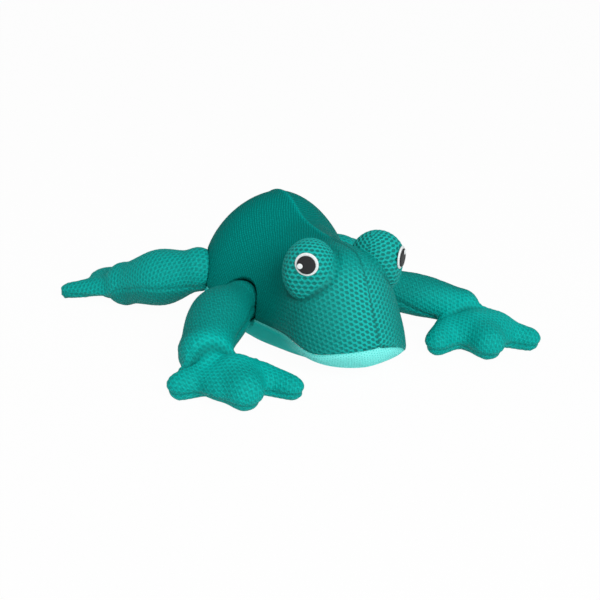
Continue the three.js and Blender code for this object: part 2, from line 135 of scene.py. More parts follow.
# The spacer mesh has staggered rows of six-sided holes and the knit has small gaps between its loops.
# These are in millimetres on the flat cloth, and the depths are in metres. A hole slopes down from
# beyond its edge to its middle, at these shares of its size.
MESH_WEAVE = {"pitch": 3.8, "row": 2.9, "wide": 3.6, "tall": 2.3}
MESH_RIB = 1.7
MESH_DEPTH = 0.0006
KNIT_WEAVE = {"pitch": 2.1, "row": 2.1 * math.sqrt(3) / 2, "wide": 0.9, "tall": 0.9}
KNIT_RIB = 1.05
KNIT_DEPTH = 0.0002
HOLE_SLOPE = (1.5, 0.3)

# Which way the rows of the right, left and belly panels follow one another. The panels are laid true
# on the face, and what lies behind it counts for little.
PANEL_GRAIN = ((-0.3, 0, -0.95), (0.3, 0, -0.95), (0, -1, 0))
FACE_START = -0.03
BEHIND_WEIGHT = 0.02

# The thread draws the seams in, but behind the neck the spine seam stands up as a ridge with a painted
# highlight.
SEAM_SUNK = 0.0011
SEAM_REACH = 0.0022
SEAM_LINE = 0.0008
SEAM_SHADE = 0.5
SPINE_SUNK = 0.0008
SPINE_HIGHLIGHT_WIDTH = 0.0016
SPINE_CLEAR = 0.004
NECK_AHEAD = 0.010
NECK_EASE = 0.02

# The head swells up round the eye bulges and is drawn in where they are sewn on.
# Painted shade darkens the lower part of that crease.
EYE_AHEAD = 0.040
EYE_HEIGHT = 0.068
BROWS = np.array(((-0.0265, -EYE_AHEAD, EYE_HEIGHT), (0.0260, -EYE_AHEAD, EYE_HEIGHT)))
BROW_RISE = 0.006
BROW_REACH = 0.019
BULGE_EDGE = 0.0205
BULGE_CREASE = 0.0016
CREASE_TOP = 0.004
CREASE_EASE = 0.012

# Where the mesh is pulled tight over the face it stands open and is glossier, and painted light lightens
# its colour, most over the muzzle. It closes again at the crown.
FACE_AHEAD = 0.015
FACE_EASE = 0.03
CROWN_HEIGHT = 0.066
CROWN_EASE = 0.014
CROWN_CLOSED = 0.6
MUZZLE_SHINE = -0.005
MUZZLE_REACH = 0.023
BACK_STRETCH = {"back": 0.1, "face": 0.6, "muzzle": 0.3}
# Painted light and shade in the colour of the back panels, at each of these places.
BACK_PAINTED_LIGHT = {"back": -0.1, "face": 0.1, "muzzle": 0.9, "ridge": 0.5}

# Behind the chin the belly knit is darkened with painted shade.
BELLY_SHADE = -0.062
BELLY_EASE = 0.03
BELLY_SHADE_STRENGTH = 0.9
BELLY_EDGE = 0.002
BELLY_MIDDLE = 0.025


def only(piece):
    """Selects one piece and nothing else."""
    bpy.ops.object.select_all(action="DESELECT")
    piece.select_set(True)
    bpy.context.view_layer.objects.active = piece


def read(items, name, width=1, kind=float):
    """One property of all the items of a mesh."""
    flat = np.empty(len(items) * width, dtype=kind)
    items.foreach_get(name, flat)
    return flat.reshape(-1, width) if width > 1 else flat


def points(piece):
    return read(piece.data.vertices, "co", 3)


def normals(piece):
    return read(piece.data.vertex_normals, "vector", 3)


def face_middles(piece):
    return read(piece.data.polygons, "center", 3)


def move_points(piece, places):
    piece.data.vertices.foreach_set("co", np.ascontiguousarray(places, dtype=np.float32).ravel())
    piece.data.update()


def add_ball(segments, rings):
    bpy.ops.object.select_all(action="DESELECT")
    bpy.ops.mesh.primitive_uv_sphere_add(segments=segments, ring_count=rings, radius=1)
    return bpy.context.object


def face_outward(piece):
    only(piece)
    bpy.ops.object.mode_set(mode="EDIT")
    bpy.ops.mesh.select_all(action="SELECT")
    bpy.ops.mesh.normals_make_consistent(inside=False)
    bpy.ops.object.mode_set(mode="OBJECT")


def apply_modifier(piece, kind, **settings):
    modifier = piece.modifiers.new(kind.lower(), kind)
    for name, value in settings.items():
        setattr(modifier, name, value)
    only(piece)
    bpy.ops.object.modifier_apply(modifier=modifier.name)


def ease(value):
    """0 below 0, 1 above 1 and a smooth step between."""
    share = np.clip(value, 0, 1)
    return share * share * (3 - 2 * share)


def smooth_run(stations, share):
    """A smooth curve through rows of numbers, at shares of the way along."""
    last = len(stations) - 1
    step = np.clip(share * last, 0, last - 1e-9)
    i = step.astype(int)
    t = (step - i)[:, None]
    before = np.where((i > 0)[:, None], stations[np.maximum(i - 1, 0)], 2 * stations[0] - stations[1])
    end = 2 * stations[-1] - stations[-2]
    after = np.where((i + 2 <= last)[:, None], stations[np.minimum(i + 2, last)], end)
    a, b = stations[i], stations[i + 1]
    return 0.5 * (2 * a + (b - before) * t + (2 * before - 5 * a + 4 * b - after) * t**2
                  + (3 * a - before - 3 * b + after) * t**3)


def torso_points(place, around):
    """Points of the torso at shares of the way from rump to nose and at turns round it from its left."""
    at = smooth_run(TORSO_OUTLINE, place)
    sine, cosine = np.sin(around), np.cos(around)
    half = np.maximum(np.where(cosine < 0, at[:, 1], at[:, 2]), 0) * TORSO_WIDTH / 2
    top, bottom = at[:, 3] * TORSO_HEIGHT, at[:, 6] * TORSO_HEIGHT - BELLY_FLAT
    seam = np.where(cosine < 0, at[:, 4], at[:, 5]) * TORSO_HEIGHT
    belly = np.interp(at[:, 0], BELLY_PLACES, BELLY_ROUNDNESS)
    upper = np.where(cosine < 0, BACK_ROUNDNESS["right"], BACK_ROUNDNESS["left"])
    power = 2 / np.where(sine < 0, belly, upper)
    rise = np.maximum(np.where(sine < 0, seam - bottom, top - seam), 0)
    x = half * np.sign(cosine) * np.abs(cosine) ** power
    z = seam + rise * np.sign(sine) * np.abs(sine) ** power
    return np.column_stack((x, at[:, 0] * TORSO_LENGTH / 2, z))


def stuff(piece, held):
    """Presses filling against the cover from inside, while the sewn points are held."""
    move_points(piece, points(piece) - normals(piece) * (STUFFING_SWELL * ~held)[:, None])
    before = points(piece)
    pins = piece.vertex_groups.new(name="held by thread")
    pins.add([int(i) for i in np.flatnonzero(held)], 1.0, "REPLACE")
    cloth = piece.modifiers.new("stuffing", "CLOTH")
    cloth.settings.quality = 6
    cloth.settings.mass = 0.15
    cloth.settings.tension_stiffness = 20
    cloth.settings.compression_stiffness = 20
    cloth.settings.shear_stiffness = 10
    cloth.settings.bending_stiffness = 0.8
    cloth.settings.use_pressure = True
    cloth.settings.uniform_pressure_force = 4
    cloth.settings.effector_weights.gravity = 0
    cloth.settings.vertex_group_mass = pins.name
    for number in range(1, 21):
        scene.frame_set(number)
    only(piece)
    bpy.ops.object.modifier_apply(modifier=cloth.name)
    scene.frame_set(1)
    piece.vertex_groups.clear()
    moved = points(piece) - before
    far = np.linalg.norm(moved, axis=1, keepdims=True)
    move_points(piece, before + moved * np.minimum(1, STUFFING_CAP / np.maximum(far, 1e-9)))


def lay_cloth(piece, panel, grains, weight=1.0):
    """Flattens each panel as it was cut, into a UV map in millimetres with its rows across the grain."""
    mesh = piece.data
    loop_edge = read(mesh.loops, "edge_index", kind=np.int32)
    loop_point = read(mesh.loops, "vertex_index", kind=np.int32)
    start = read(mesh.polygons, "loop_start", kind=np.int32)
    loop_panel = np.repeat(panel, read(mesh.polygons, "loop_total", kind=np.int32))
    least = np.full(len(mesh.edges), len(grains))
    most = np.full(len(mesh.edges), -1)
    np.minimum.at(least, loop_edge, loop_panel)
    np.maximum.at(most, loop_edge, loop_panel)
    mesh.edges.foreach_set("use_seam", least != most)
    cloth = mesh.uv_layers.get("cloth") or mesh.uv_layers.new(name="cloth")
    mesh.uv_layers.active = cloth
    only(piece)
    bpy.ops.object.mode_set(mode="EDIT")
    bpy.ops.mesh.select_all(action="SELECT")
    bpy.ops.uv.unwrap(method="MINIMUM_STRETCH", iterations=40, margin=0.001)
    bpy.ops.object.mode_set(mode="OBJECT")
    cloth = mesh.uv_layers["cloth"]
    flat = read(cloth.uv, "vector", 2)
    place = points(piece)[loop_point]
    weights = weight * np.ones(len(panel))
    for kind, grain in enumerate(grains):
        faces = start[panel == kind]
        share = weights[panel == kind]
        p0, p1, p2 = place[faces], place[faces + 1], place[faces + 2]
        q0, q1, q2 = flat[faces], flat[faces + 1], flat[faces + 2]
        real = np.linalg.norm(np.cross(p1 - p0, p2 - p0), axis=1) * share
        (ax, ay), (bx, by) = (q1 - q0).T, (q2 - q0).T
        drawn = ax * by - ay * bx
        scale = 1000 * math.sqrt(real.sum() / (np.abs(drawn) * share).sum())
        # The grain's own direction on the flat panel, which is then turned upright.
        a, b = share * ((p1 - p0) @ np.array(grain)), share * ((p2 - p0) @ np.array(grain))
        turn = math.pi / 2 - math.atan2((b * ax - a * bx).sum(), (a * by - b * ay).sum())
        rows = np.array(((math.cos(turn), -math.sin(turn)), (math.sin(turn), math.cos(turn)))) * scale
        chosen = loop_panel == kind
        flat[chosen] = (flat[chosen] - flat[chosen].mean(axis=0)) @ rows.T
    cloth.uv.foreach_set("vector", flat.astype(np.float32).ravel())


def cloth_places(piece):
    """Where each point lies on the flat cloth, in millimetres."""
    mesh = piece.data
    place = np.zeros((len(mesh.vertices), 2))
    place[read(mesh.loops, "vertex_index", kind=np.int32)] = read(mesh.uv_layers["cloth"].uv, "vector", 2)
    return place


def hole_reach(place, pitch, row, wide, tall):
    """How far each place is from the nearest hole's middle, 1 at the hole's edge."""
    def wrapped(shift):
        across = (place[:, 0] + shift * pitch / 2 + pitch / 2) % pitch - pitch / 2
        along = (place[:, 1] + shift * row + row) % (2 * row) - row
        across, along = np.abs(across) / (wide / 2), np.abs(along) / (tall / 2)
        return (np.hypot(across, along) + across + along) / 2
    return np.minimum(wrapped(0), wrapped(1))


def keep_values(piece, name, values):
    """Keeps one number for each point of a piece, for its material."""
    piece.data.attributes.new(name, "FLOAT", "POINT").data.foreach_set("value", values.astype(np.float32))


def open_holes(piece, openness, weave, depth):
    """Sinks the holes of the cloth into the surface, apart from the seams and the painted shade, and keeps
    how open they are.
    """
    reach = hole_reach(cloth_places(piece), **weave)
    seams_and_painted_shade = read(piece.data.attributes["seams_and_painted_shade"].data, "value", kind=np.float32)
    outer, inner = HOLE_SLOPE
    sunk = (1 - ease((reach - inner) / (outer - inner))) * (1 - np.minimum(1, 2 * seams_and_painted_shade))
    keep_values(piece, "stretch", openness)
    move_points(piece, points(piece) - normals(piece) * (depth * sunk * openness)[:, None])


def linear(code):
    """An sRGB hex colour as linear light."""
    parts = [int(code[i:i + 2], 16) / 255 for i in (1, 3, 5)]
    return (*[c / 12.92 if c <= 0.04045 else ((c + 0.055) / 1.055) ** 2.4 for c in parts], 1.0)


def put(tree, kind, inputs=None, **settings):
    """Adds a node with its settings, and sets or links its inputs."""
    node = tree.nodes.new("ShaderNode" + kind)
    for name, value in settings.items():
        setattr(node, name, value)
    for socket, value in (inputs or {}).items():
        if isinstance(value, bpy.types.NodeSocket):
            tree.links.new(value, node.inputs[socket])
        else:
            node.inputs[socket].default_value = value
    return node


def new_material(name):
    material = bpy.data.materials.new(name)
    material.use_nodes = True
    tree = material.node_tree
    tree.nodes.clear()
    return material, tree


def holed_cloth(name, colours, weave, rib, gloss):
    """Knitted cloth with staggered holes, laid by the piece's own flat cloth map in millimetres.

    The colours are those of the thread, the thread in shade, the holes and the seams; the seam colour also
    serves as painted shade.
    """
    thread, shade, hole, seam = [linear(code) for code in colours]
    pitch, row, wide, tall = [weave[size] for size in ("pitch", "row", "wide", "tall")]
    material, tree = new_material(name)
    flat = put(tree, "UVMap", uv_map="cloth").outputs["UV"]
    stretch = put(tree, "Attribute", attribute_name="stretch").outputs["Fac"]
    painted_light = put(tree, "Attribute", attribute_name="painted_light").outputs["Fac"]
    seams_and_painted_shade = put(tree, "Attribute", attribute_name="seams_and_painted_shade").outputs["Fac"]

    # The holes, in two sets of rows: how far it is to the nearest one's middle, and what shows of them.
    reaches = []
    for shift in (0, 1):
        moved = put(tree, "VectorMath", {0: flat, 1: (shift * pitch / 2, shift * row, 0)}, operation="ADD")
        limits = {1: (pitch / 2, row, 1), 2: (-pitch / 2, -row, -1)}
        cell = put(tree, "VectorMath", {0: moved.outputs[0], **limits}, operation="WRAP")
        shape = (2 / wide, 2 / tall, 0)
        sized = put(tree, "VectorMath", {0: cell.outputs[0], 1: shape}, operation="MULTIPLY")
        aside = put(tree, "VectorMath", {0: sized.outputs[0]}, operation="ABSOLUTE")
        corner = put(tree, "VectorMath", {0: aside.outputs[0], 1: (1, 1, 0)}, operation="DOT_PRODUCT")
        oval = put(tree, "VectorMath", {0: aside.outputs[0]}, operation="LENGTH")
        both = put(tree, "Math", {0: corner.outputs["Value"], 1: oval.outputs["Value"]}, operation="ADD")
        reaches.append(put(tree, "Math", {0: both.outputs[0], 1: 0.5}, operation="MULTIPLY").outputs[0])
    reach = put(tree, "Math", {0: reaches[0], 1: reaches[1]}, operation="MINIMUM").outputs[0]
    solid = put(tree, "MapRange", {"Value": reach, "From Min": 0.72, "From Max": 1.1},
                interpolation_type="SMOOTHSTEP").outputs["Result"]
    closed = put(tree, "Math", {0: 1.0, 1: stretch}, operation="SUBTRACT").outputs[0]
    shown = put(tree, "MapRange", {"Value": solid, "To Min": closed, "To Max": 1.0}).outputs["Result"]

    # Slanting ribs that drift a little, crossed by the knitted loops, where the cloth is closed.
    slant = 2 * math.pi / rib * math.sqrt(0.5)
    lines = put(tree, "VectorMath", {0: flat, 1: (slant, slant, 0)}, operation="DOT_PRODUCT")
    drift = put(tree, "TexNoise", {"Vector": flat, "Scale": 0.12, "Detail": 2.0}, noise_dimensions="2D")
    lines = put(tree, "Math", {0: drift.outputs["Fac"], 1: 5.0, 2: lines.outputs["Value"]},
                operation="MULTIPLY_ADD")
    ribs = put(tree, "Math", {0: lines.outputs[0]}, operation="SINE").outputs[0]
    crossing = put(tree, "VectorMath", {0: flat, 1: (slant, -slant, 0)}, operation="DOT_PRODUCT")
    loops = put(tree, "Math", {0: crossing.outputs["Value"]}, operation="SINE").outputs[0]
    ribs = put(tree, "Math", {0: loops, 1: 0.45, 2: ribs}, operation="MULTIPLY_ADD").outputs[0]
    ribs = put(tree, "Math", {0: ribs, 1: closed}, operation="MULTIPLY").outputs[0]

    # Uneven yarn and the ribs, with the painted light and shade kept on each piece, set how light the
    # thread is.
    yarn = put(tree, "TexNoise", {"Vector": flat, "Scale": 0.9, "Detail": 4.0, "Roughness": 0.75},
               noise_dimensions="2D").outputs["Fac"]
    yarn = put(tree, "Math", {0: yarn, 1: 1.6, 2: -0.3}, operation="MULTIPLY_ADD").outputs[0]
    lively = put(tree, "Math", {0: ribs, 1: 0.32, 2: yarn}, operation="MULTIPLY_ADD").outputs[0]
    tint = put(tree, "Math", {0: lively, 1: painted_light}, operation="ADD").outputs[0]
    tint = put(tree, "MapRange", {"Value": tint, "From Min": 0.3, "From Max": 1.6}).outputs["Result"]
    cloth = put(tree, "Mix", {0: tint, 6: shade, 7: thread}, data_type="RGBA").outputs[2]
    cloth = put(tree, "Mix", {0: shown, 6: hole, 7: cloth}, data_type="RGBA").outputs[2]
    cloth = put(tree, "Mix", {0: seams_and_painted_shade, 6: cloth, 7: seam}, data_type="RGBA").outputs[2]

    # The relief of thread and holes, and a gloss that grows as the cloth is pulled open.
    height = put(tree, "Math", {0: shown, 1: lively}, operation="ADD").outputs[0]
    bump = put(tree, "Bump", {"Strength": 0.6, "Distance": 0.0004, "Height": height}).outputs["Normal"]
    shine = put(tree, "Math", {0: stretch, 1: gloss}, operation="MULTIPLY").outputs[0]
    shader = put(tree, "BsdfPrincipled", {
        "Base Color": cloth, "Roughness": 0.62, "Specular IOR Level": shine, "Normal": bump})
    put(tree, "OutputMaterial", {"Surface": shader.outputs[0]})
    return material


# Polyester spacer mesh: two knitted faces, so a hole shows the same teal in shade behind it.
teal_mesh = holed_cloth("teal polyester spacer mesh", ("#00c8be", "#007d75", "#007f78", "#00524c"),
                        MESH_WEAVE, MESH_RIB, 0.28)
# Warp knit: the holes are only the gaps between loops, so it looks paler and nearly even. Its seam
# colour is also that of the painted shade on the belly behind the chin.
aqua_knit = holed_cloth("aqua warp knit", ("#8afff8", "#70f5ec", "#50e2d8", "#00dcd2"),
                        KNIT_WEAVE, KNIT_RIB, 0.08)

torso = add_ball(TORSO_AROUND, TORSO_RINGS)
torso.name = "torso_cover"
ball = points(torso)
place = np.arccos(np.clip(ball[:, 2], -1, 1)) / math.pi
around = np.arctan2(ball[:, 1], ball[:, 0])
move_points(torso, torso_points(place, around))
face_outward(torso)

seam_lines = [torso_points(np.linspace(0, 1, 200), np.full(200, turn))[::-1] for turn in (math.pi, 0)]


def seam_height(places):
    """Height of the side seam beside each place."""
    right_seam, left_seam = [np.interp(places[:, 1], line[:, 1], line[:, 2]) for line in seam_lines]
    return np.where(places[:, 0] < 0, right_seam, left_seam)


def past_neck(places):
    """0 on the back and 1 on the head."""
    return ease((-places[:, 1] - NECK_AHEAD) / NECK_EASE)


on_side_seam = np.abs(np.sin(around)) < 1e-4
on_spine = (np.abs(np.cos(around)) < 1e-4) & (np.sin(around) > 0)
on_floor = points(torso)[:, 2] < BELLY_HELD
at_ends = np.abs(ball[:, 2]) > 0.9999
stuff(torso, on_side_seam | on_spine | on_floor | at_ends)

middle = face_middles(torso)
above = middle[:, 2] > seam_height(middle)
panel = np.where(above, np.where(middle[:, 0] < 0, 0, 1), 2)
lay_cloth(torso, panel, PANEL_GRAIN, np.where(middle[:, 1] < FACE_START, 1.0, BEHIND_WEIGHT))
for cloth in (teal_mesh, teal_mesh, aqua_knit):
    torso.data.materials.append(cloth)
torso.data.polygons.foreach_set("material_index", panel.astype(np.int32))
apply_modifier(torso, "SUBSURF", levels=TORSO_FINE, render_levels=TORSO_FINE)

# The seams, the head round the eyes and the painted shade, then the three panels apart.
skin = points(torso)
out = normals(torso)
beside_seam = np.abs(skin[:, 2] - seam_height(skin))
beside_spine = np.abs(skin[:, 0])
upper = skin[:, 2] > seam_height(skin) + SPINE_CLEAR
on_head = past_neck(skin)
drawn_in = SEAM_SUNK * np.exp(-(beside_seam / SEAM_REACH) ** 2)
drawn_in += (2 * on_head - 1) * SPINE_SUNK * np.exp(-(beside_spine / SEAM_REACH) ** 2) * upper
seams_and_painted_shade = np.exp(-(beside_seam / SEAM_LINE) ** 2)
seams_and_painted_shade += on_head * np.exp(-(beside_spine / SEAM_LINE) ** 2) * upper
shaded = SEAM_SHADE * np.minimum(seams_and_painted_shade, 1)
# Painted shade on the belly behind the chin.
below = ease((seam_height(skin) - skin[:, 2]) / BELLY_EDGE)
shaded = np.maximum(shaded, BELLY_SHADE_STRENGTH * below * ease((skin[:, 1] - BELLY_SHADE) / BELLY_EASE))
for brow in BROWS:
    far = np.linalg.norm(skin - brow, axis=1)
    drawn_in -= BROW_RISE * np.exp(-(far / BROW_REACH) ** 2)
    crease = np.exp(-((far - BULGE_EDGE) / SEAM_REACH) ** 2)
    drawn_in += BULGE_CREASE * crease
    # Painted shade in the lower part of the crease round each bulge.
    under = ease((brow[2] + CREASE_TOP - skin[:, 2]) / CREASE_EASE)
    shaded = np.maximum(shaded, SEAM_SHADE * crease * under)
skin -= out * drawn_in[:, None]
skin[:, 2] = np.maximum(skin[:, 2], 0.0)
move_points(torso, skin)
keep_values(torso, "seams_and_painted_shade", shaded)
only(torso)
bpy.ops.object.shade_smooth()
bpy.ops.object.mode_set(mode="EDIT")
bpy.ops.mesh.select_all(action="SELECT")
bpy.ops.mesh.separate(type="MATERIAL")
bpy.ops.object.mode_set(mode="OBJECT")

for cover in [o for o in bpy.context.selected_objects if o.name.startswith("torso_cover")]:
    skin = points(cover)
    if skin[:, 2].mean() < BELLY_MIDDLE:
        cover.name = "belly_cover"
        keep_values(cover, "painted_light", np.ones(len(skin)))
        open_holes(cover, np.ones(len(skin)), KNIT_WEAVE, KNIT_DEPTH)
        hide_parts("belly_panel", "body_core", "head_fill")
        cloth = aqua_knit
    else:
        side = "right" if skin[:, 0].mean() < 0 else "left"
        cover.name = "back_cover_" + side
        crown = ease((skin[:, 2] - CROWN_HEIGHT) / CROWN_EASE)
        face = ease((-skin[:, 1] - FACE_AHEAD) / FACE_EASE) * (1 - CROWN_CLOSED * crown)
        muzzle = face * np.exp(-((skin[:, 0] - MUZZLE_SHINE) / MUZZLE_REACH) ** 2)
        # A painted highlight along the spine's ridge behind the neck.
        ridge = (1 - past_neck(skin)) * np.exp(-(skin[:, 0] / SPINE_HIGHLIGHT_WIDTH) ** 2)
        parts = {"back": 1.0, "face": face, "muzzle": muzzle, "ridge": ridge}
        keep_values(cover, "painted_light", sum(share * parts[part] for part, share in BACK_PAINTED_LIGHT.items()))
        openness = sum(share * parts[part] for part, share in BACK_STRETCH.items())
        open_holes(cover, openness, MESH_WEAVE, MESH_DEPTH)
        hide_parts("body_panel_" + side)
        cloth = teal_mesh
    cover.data.materials.clear()
    cover.data.materials.append(cloth)
    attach(cover, "torso")


# Eye bulges
# Two stuffed caps of the same spacer mesh, sewn to the top of the head and pressed flat in front
# where the felt eyes are fixed.

# Each faces out to its side. What stands in front of the flat is pressed to a share of its depth, and
# the cap's back panel begins behind its middle. Painted light makes the mesh lighter towards the top.
EYE_ASIDE = 0.0265
EYE_TURN = math.radians(41)
EYE_SIDE = {"right": -1, "left": 1}
BULGE_SIZE = {"right": (0.037, 0.044, 0.040), "left": (0.0325, 0.044, 0.040)}
BULGE_FINE = 3
EYE_FLAT = 0.0158
PRESSED = 0.15
BACK_PANEL = -0.004
BULGE_PAINTED_LIGHT = 0.68
BULGE_PAINTED_LIGHT_RISE = 0.25
BULGE_PAINTED_LIGHT_REACH = 0.02


def eye_frame(name):
    """Axes of an eye, across, up and out of the head, as a matrix at the middle of its bulge."""
    look = Vector((EYE_SIDE[name] * math.sin(EYE_TURN), -math.cos(EYE_TURN), 0))
    up = Vector((0, 0, 1))
    turn = Matrix((up.cross(look), up, look)).transposed().to_4x4()
    turn.translation = (EYE_SIDE[name] * EYE_ASIDE, -EYE_AHEAD, EYE_HEIGHT)
    return turn


for name in EYE_SIDE:
    bulge = add_ball(24, 16)
    bulge.name = "eye_bulge_cover_" + name
    shape = points(bulge) * np.array(BULGE_SIZE[name]) / 2
    front = shape[:, 2] - EYE_FLAT
    shape[:, 2] = np.where(front > 0, EYE_FLAT + front * PRESSED, shape[:, 2])
    move_points(bulge, shape)
    behind = face_middles(bulge)[:, 2] < BACK_PANEL
    lay_cloth(bulge, behind.astype(int), ((0, 1, 0), (0, 1, 0)))
    bulge.data.transform(eye_frame(name))
    apply_modifier(bulge, "SUBSURF", levels=BULGE_FINE, render_levels=BULGE_FINE)
    only(bulge)
    bpy.ops.object.shade_smooth()
    # Painted light, stronger towards the top of each bulge.
    raised = np.clip((points(bulge)[:, 2] - EYE_HEIGHT) / BULGE_PAINTED_LIGHT_REACH, -1, 1)
    keep_values(bulge, "painted_light", BULGE_PAINTED_LIGHT + BULGE_PAINTED_LIGHT_RISE * raised)
    keep_values(bulge, "seams_and_painted_shade", np.zeros(len(raised)))
    open_holes(bulge, np.ones(len(raised)), MESH_WEAVE, MESH_DEPTH)
    bulge.data.materials.append(teal_mesh)
    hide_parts("eye_bulge_" + name, "eye_fill_" + name)
    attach(bulge, "torso")


# Eyes
# Each is a white felt disc with a black felt pupil and a small white glint, cut with a punch, glued
# one on the other and pressed, so the edges are rounded over.

# How far each eye lies above and inward of its bulge's middle, and the glint from the pupil's middle.
EYE_RAISE = {"right": 0.0098, "left": 0.006}
EYE_INWARD = {"right": 0.0010, "left": 0.0024}
GLINT_PLACE = {"right": (-0.0040, -0.0010), "left": (0.0006, 0.0040)}
# From the bulge outward: the piece, its diameter, its thickness and its material.
EYE_LAYERS = (
    ("eye_white", 0.0156, 0.0012, "white_felt"),
    ("pupil", 0.0124, 0.0008, "black_felt"),
    ("eye_glint", 0.0037, 0.0006, "white_felt"),
)
LAYER_GAP = 0.0003
EDGE_ROUNDED = 0.45
FIBRE_SIZE = 0.0008


def felt(name, fibre, shade, roughness):
    """Pressed wool felt: short crossing fibres, a little lighter and darker from place to place."""
    material, tree = new_material(name)
    place = put(tree, "TexCoord").outputs["Object"]
    fuzz = put(tree, "TexNoise", {
        "Vector": place, "Scale": 1 / FIBRE_SIZE, "Detail": 4.0, "Roughness": 0.7})
    tone = put(tree, "ValToRGB", {"Fac": fuzz.outputs["Fac"]})
    tone.color_ramp.elements[0].position = 0.3
    tone.color_ramp.elements[0].color = linear(shade)
    tone.color_ramp.elements[1].position = 0.6
    tone.color_ramp.elements[1].color = linear(fibre)
    bump = put(tree, "Bump", {"Strength": 0.25, "Distance": 0.0002, "Height": fuzz.outputs["Fac"]})
    shader = put(tree, "BsdfPrincipled", {
        "Base Color": tone.outputs["Color"], "Roughness": roughness, "Normal": bump.outputs["Normal"]})
    put(tree, "OutputMaterial", {"Surface": shader.outputs[0]})
    return material


felts = {
    "white_felt": felt("white pressed felt", "#fdffff", "#e9f2f5", 0.8),
    "black_felt": felt("black pressed felt", "#17161b", "#0e0d11", 0.6),
}

for name in EYE_SIDE:
    low = EYE_FLAT + LAYER_GAP
    for layer, diameter, thickness, finish in EYE_LAYERS:
        bpy.ops.object.select_all(action="DESELECT")
        bpy.ops.mesh.primitive_cylinder_add(vertices=64, radius=diameter / 2, depth=thickness)
        disc = bpy.context.object
        disc.name = layer + "_felt_" + name
        apply_modifier(disc, "BEVEL", width=thickness * EDGE_ROUNDED, segments=4, limit_method="ANGLE")
        aside, above = GLINT_PLACE[name] if layer == "eye_glint" else (0, 0)
        x = aside - EYE_SIDE[name] * EYE_INWARD[name]
        y = above + EYE_RAISE[name]
        disc.data.transform(Matrix.Translation((x, y, low + thickness / 2)))
        disc.data.transform(eye_frame(name))
        only(disc)
        bpy.ops.object.shade_smooth_by_angle(angle=math.radians(40))
        disc.data.materials.append(felts[finish])
        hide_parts(layer + "_" + name)
        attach(disc, "torso")
        low += thickness + LAYER_GAP


# Legs and feet
# Each leg and its foot is one stuffed tube of spacer mesh, a top and a bottom panel sewn round the
# edge, with three toes. The root is sewn into the side of the body and the wrist is gathered.

# Radius of each leg at the root, in the middle and at the wrist. It swells towards the middle, to the
# second share of the middle's radius at the first share of its length. The turns are where its round
# ends are drawn, in degrees from the tip.
LEG_GIRTH = {
    "front_leg_right": (0.0150, 0.0200, 0.0185),
    "front_leg_left": (0.0165, 0.0155, 0.0145),
    "hind_leg_right": (0.0165, 0.0205, 0.0168),
    "hind_leg_left": (0.0190, 0.0195, 0.0165),
}
LEG_SWELL = ((0.36, 0.97), (0.55, 1.0))
END_TURNS = np.radians((0, 28, 60, 88, 112))
# The left hind leg lies flatter than the others, and two legs are sewn on a little lower.
LEG_FLAT = {"hind_leg_left": 0.78}
LEG_DROP = {"front_leg_right": 0.0015, "hind_leg_left": 0.003}
# How far each leg bends from its root, and how far its end lies from the wrist's fold.
LEG_BEND = {
    "front_leg_right": (-0.030, -0.019, 0.003),
    "front_leg_left": (0.038, -0.022, -0.003),
    "hind_leg_right": (-0.022, 0.018, -0.010),
    "hind_leg_left": (0.020, 0.020, -0.024),
}
LEG_HEEL = {
    "front_leg_right": (-0.0120, 0.006, 0.0),
    "front_leg_left": (0.000, 0.006, 0.0),
    "hind_leg_right": (0.0, 0.0, -0.003),
    "hind_leg_left": (0.0, 0.0, -0.003),
}
# Palms: length, width and height, how far the middle is ahead of the wrist and to its outer side, and
# how far the palm is off the floor.
HIND_PALM = (0.040, 0.036, 0.019, 0.020, 0.004, 0.003)
PALMS = {
    "front_leg_right": (0.050, 0.049, 0.022, 0.021, 0.003, 0.0),
    "front_leg_left": (0.046, 0.054, 0.027, 0.019, 0.005, 0.0),
    "hind_leg_right": HIND_PALM,
    "hind_leg_left": HIND_PALM,
}
# Toes from the outer side in: turn from straight ahead in degrees, radius at the tip, reach from the
# wrist, how much thicker the toe is where it leaves the palm, and how far that end is off the floor.
HIND_TOES = (
    (-32, 0.0064, 0.0530, 0.4, 0.006),
    (8, 0.0080, 0.0475, 0.4, 0.001),
    (52, 0.0085, 0.0520, 0.4, 0.001),
)
TOES = {
    "front_leg_right": (
        (61, 0.0092, 0.0495, 0.4, 0.0),
        (0, 0.0126, 0.0555, 0.3, 0.0),
        (-43, 0.0082, 0.0580, 0.55, 0.0),
    ),
    "front_leg_left": (
        (50, 0.0086, 0.0580, 0.5, 0.0),
        (2, 0.0122, 0.0535, 0.3, 0.0),
        (-47, 0.0096, 0.0525, 0.4, 0.0),
    ),
    "hind_leg_right": HIND_TOES,
    "hind_leg_left": HIND_TOES,
}
TOE_START = 0.010
FLOOR_FLAT = 0.0005
LIMB_VOXEL = 0.003
LIMB_FINE = 2
LIMB_FULLER = 0.0008
LIMB_HELD = 0.001
# Height of the seam round a foot, and how far the seam of a hind leg lies under its middle, at the
# root and beyond the knee.
FOOT_SEAM = 0.0058
FOOT_SEAM_FROM = -0.006
FOOT_SEAM_EASE = 0.018
HIND_SEAM = (0.010, 0.001)
HIND_KNEE = 0.6
LEG_SEAM_SHADE = 0.4
# A front leg is gathered on top, in small puckers behind a crease ahead of the wrist's fold.
TOP_FROM = -0.002
TOP_EASE = 0.008
WRIST_CREASE = 0.0155
CREASE_SUNK = 0.0022
CREASE_WIDTH = 0.0022
GATHER_BEHIND = 0.005
GATHER_WIDTH = 0.003
GATHER_RISE = 0.0006
GATHER_WAVE = 0.0002
GATHER_PITCH = 0.0042
